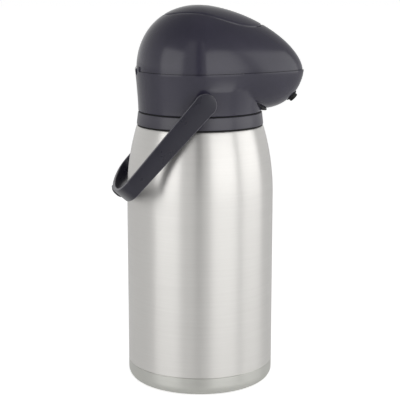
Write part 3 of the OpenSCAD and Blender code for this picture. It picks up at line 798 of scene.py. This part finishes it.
def grip_skin():
    """Domed oval button with a low rim on the outside of the grip."""
    to_place = Matrix.Translation(PIVOT) @ Matrix.Rotation(REST, 4, "Y")
    steps = turns(72)
    face = -(REACH + STRAP_T)
    half_x, half_y = GRIP_W / 2, 11 * MM
    # share of the oval's size, and millimetres out from the strap
    rim = ((1.03, -1.0), (1.03, 0.45), (1.0, 0.75), (0.95, 0.7), (0.93, 0.35))
    button = ((0.9, 0.3), (0.86, 1.4), (0.76, 2.4), (0.6, 3.0), (0.4, 3.25), (0.18, 3.35))
    rings = []
    for size, out in rim + button:
        x, y, z = size * half_x, size * half_y, face - out * MM
        rings.append([to_place @ Vector((x * math.cos(t), y * math.sin(t), z)) for t in steps])
    piece = add(loft("grip_skin", rings), "bail", "handle_plastic", grip_plastic, "grip_pad")
    # the button's rim takes the lighter plastic, a painted highlight round it
    piece.data.materials.append(painted_highlight_plastic)
    for polygon in piece.data.polygons:
        if polygon.index < (len(rim) - 1) * len(steps):
            polygon.material_index = 1


steel_shell()
steel_base()
tapered_ring()
head_shell()
beak_shade_wedge()
lid_skin()
pad_skin()
nozzle_skin()
handle_skin()
grip_skin()

# ---------------------------------------------------------------- nodes that keep their own shape
KEPT = {
    rubber: ["base_pad", "neck_gasket", "collar_gasket", "stopper_seal", "pump_gasket", "valve_flap"],
    inner_steel: ["inner_bottle", "vacuum_seal"],
    pin_steel: ["lid_screws", "hinge_pin", "pad_pin"],
    inner_plastic: [
        "bottle_spacer",
        "filling_well",
        "stopper",
        "dip_tube_foot",
        "pump_housing",
        "elbow",
        "lid_plate",
        "bellows_base",
        "plunger",
    ],
    tube_plastic: ["dip_tube", "outlet_tube"],
    head_plastic: ["hinge_leaf"],
    handle_plastic: ["handle_studs"],
}
NODE_SHARP = 30  # degrees, as SHARP, for the nodes' own meshes
for material, names in KEPT.items():
    for name in names:
        node = frame["nodes"][name]
        node.data.materials.clear()
        node.data.materials.append(material)
        node.data.shade_smooth()
        node.data.set_sharp_from_angle(angle=math.radians(NODE_SHARP))


def pressed_copy(name, slot, material):
    """Copy of a modelled node, in its own place, carried by the lid."""
    node = frame["nodes"][name]
    mesh = node.data.copy()
    mesh.transform(node.matrix_world)
    obj = bpy.data.objects.new(name + "_skin", mesh)
    bpy.context.scene.collection.objects.link(obj)
    mesh.shade_smooth()
    mesh.set_sharp_from_angle(angle=math.radians(NODE_SHARP))
    add(obj, "lid", slot, material, name)
    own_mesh(obj)


pressed_copy("bellows", "seal_rubber", rubber)
pressed_copy("return_spring", "pin_steel", pin_steel)


# ---------------------------------------------------------------- camera, floor and light
def place_camera():
    """Camera a little above the pot's top, looking down on it."""
    away, height, turn, down = 1.08486, 0.38055, math.radians(-4), math.radians(11)
    data = bpy.data.cameras.new("camera")
    data.lens = 106.14
    data.sensor_width = 36
    data.clip_start = 0.05
    camera = bpy.data.objects.new("camera", data)
    camera.location = (away * math.sin(turn), -away * math.cos(turn), height)
    camera.rotation_euler = (math.pi / 2 - down, 0, turn)
    bpy.context.scene.collection.objects.link(camera)
    bpy.context.scene.camera = camera


def floor():
    """Pale floor that reads as white to the camera and still takes the pot's shadow."""
    side = 12
    seen, mirrored = 0.66, 0.20  # glow towards the camera, and in gloss and through clear plastic
    corners = [(-side, -side, 0), (side, -side, 0), (side, side, 0), (-side, side, 0)]
    plane = mesh_object("floor", corners, [(0, 1, 2, 3)])
    m = Nodes("floor_white")
    grain = m.noise(m.position(), 3.0)
    m.link(m.tint(m.ramp(grain, 0, 1), (0.80, 0.80, 0.80), (0.82, 0.82, 0.82)), m.bsdf.inputs["Base Color"])
    m.bsdf.inputs["Roughness"].default_value = 0.9
    m.bsdf.inputs["Specular IOR Level"].default_value = 0.1
    glow = m.new("ShaderNodeEmission")
    path = m.new("ShaderNodeLightPath")
    straight = m.new("ShaderNodeMath", operation="MULTIPLY")
    straight.inputs[1].default_value = seen
    m.link(path.outputs["Is Camera Ray"], straight.inputs[0])
    bounced = m.new("ShaderNodeMath", operation="MULTIPLY_ADD")
    bounced.inputs[1].default_value = mirrored
    m.link(path.outputs["Is Glossy Ray"], bounced.inputs[0])
    m.link(straight.outputs[0], bounced.inputs[2])
    through = m.new("ShaderNodeMath", operation="MULTIPLY_ADD")
    through.inputs[1].default_value = mirrored
    m.link(path.outputs["Is Transmission Ray"], through.inputs[0])
    m.link(bounced.outputs[0], through.inputs[2])
    m.link(through.outputs[0], glow.inputs["Strength"])
    both = m.new("ShaderNodeAddShader")
    m.link(m.bsdf.outputs[0], both.inputs[0])
    m.link(glow.outputs[0], both.inputs[1])
    m.link(both.outputs[0], m.tree.nodes["Material Output"].inputs["Surface"])
    plane.data.materials.append(m.material)


def softbox(name, azimuth, size, power):
    """Area light that faces the pot; azimuth 0 is on the camera's side and 90 on the spout's."""
    away, height, aim_z = 1.6, 0.42, 0.19
    data = bpy.data.lights.new(name, "AREA")
    data.shape = "RECTANGLE"
    data.size, data.size_y = size
    data.energy = power
    lamp = bpy.data.objects.new(name, data)
    a = math.radians(azimuth)
    lamp.location = (away * math.sin(a), -away * math.cos(a), height)
    aim = Vector((0, 0, aim_z)) - lamp.location
    lamp.rotation_euler = aim.to_track_quat("-Z", "Y").to_euler()
    bpy.context.scene.collection.objects.link(lamp)


def card(name, azimuth, away, width, low, high, glow):
    """Upright card behind the camera, dimmer than the lamps, which gloss shows as a darker band."""
    a, half = math.radians(azimuth), width / 2
    middle = Vector((away * math.sin(a), -away * math.cos(a), 0))
    side = Vector((math.cos(a), math.sin(a), 0)) * half
    corners = [middle - side + Vector((0, 0, low)), middle + side + Vector((0, 0, low))]
    corners += [middle + side + Vector((0, 0, high)), middle - side + Vector((0, 0, high))]
    board = mesh_object(name, corners, [(0, 1, 2, 3)])
    m = Nodes(name)
    grain = m.noise(m.position(), 5.0)
    m.link(m.tint(grain, (0.03, 0.03, 0.03), (0.05, 0.05, 0.05)), m.bsdf.inputs["Base Color"])
    m.link(m.tint(grain, (0.95, 0.95, 0.95), (1.0, 1.0, 1.0)), m.bsdf.inputs["Emission Color"])
    m.bsdf.inputs["Emission Strength"].default_value = glow
    board.data.materials.append(m.material)
    board.visible_camera = False


def world():
    """White to the camera; for light, brighter at the horizon than overhead."""
    horizon, overhead, steep = 0.82, 0.28, 0.9  # steep is the height on a unit sphere where overhead starts
    scene_world = bpy.data.worlds.new("studio")
    bpy.context.scene.world = scene_world
    scene_world.use_nodes = True
    tree = scene_world.node_tree
    background = tree.nodes["Background"]
    coord = tree.nodes.new("ShaderNodeTexCoord")
    parts = tree.nodes.new("ShaderNodeSeparateXYZ")
    tree.links.new(coord.outputs["Generated"], parts.inputs[0])
    ramp = tree.nodes.new("ShaderNodeMapRange")
    ramp.inputs["From Min"].default_value = 0.0
    ramp.inputs["From Max"].default_value = steep
    ramp.inputs["To Min"].default_value = horizon
    ramp.inputs["To Max"].default_value = overhead
    tree.links.new(parts.outputs["Z"], ramp.inputs["Value"])
    path = tree.nodes.new("ShaderNodeLightPath")
    pick = tree.nodes.new("ShaderNodeMix")
    pick.data_type = "FLOAT"
    tree.links.new(path.outputs["Is Camera Ray"], pick.inputs["Factor"])
    tree.links.new(ramp.outputs["Result"], pick.inputs["A"])
    pick.inputs["B"].default_value = 1.0
    tree.links.new(pick.outputs["Result"], background.inputs["Strength"])
    background.inputs["Color"].default_value = (1, 1, 1, 1)


place_camera()
floor()
world()
card("card_wide", -11.5, 1.9, 1.4, 0.0, 2.6, 0.74)
card("card_narrow", -5.5, 1.7, 0.29, -0.1, 2.4, 0.03)
softbox("key_right", 34, (1.25, 1.5), 7.6)
softbox("side_right", 84, (1.2, 1.5), 5.9)
softbox("key_left", -56, (1.25, 1.5), 7.2)
bpy.context.scene.view_settings.view_transform = "Standard"
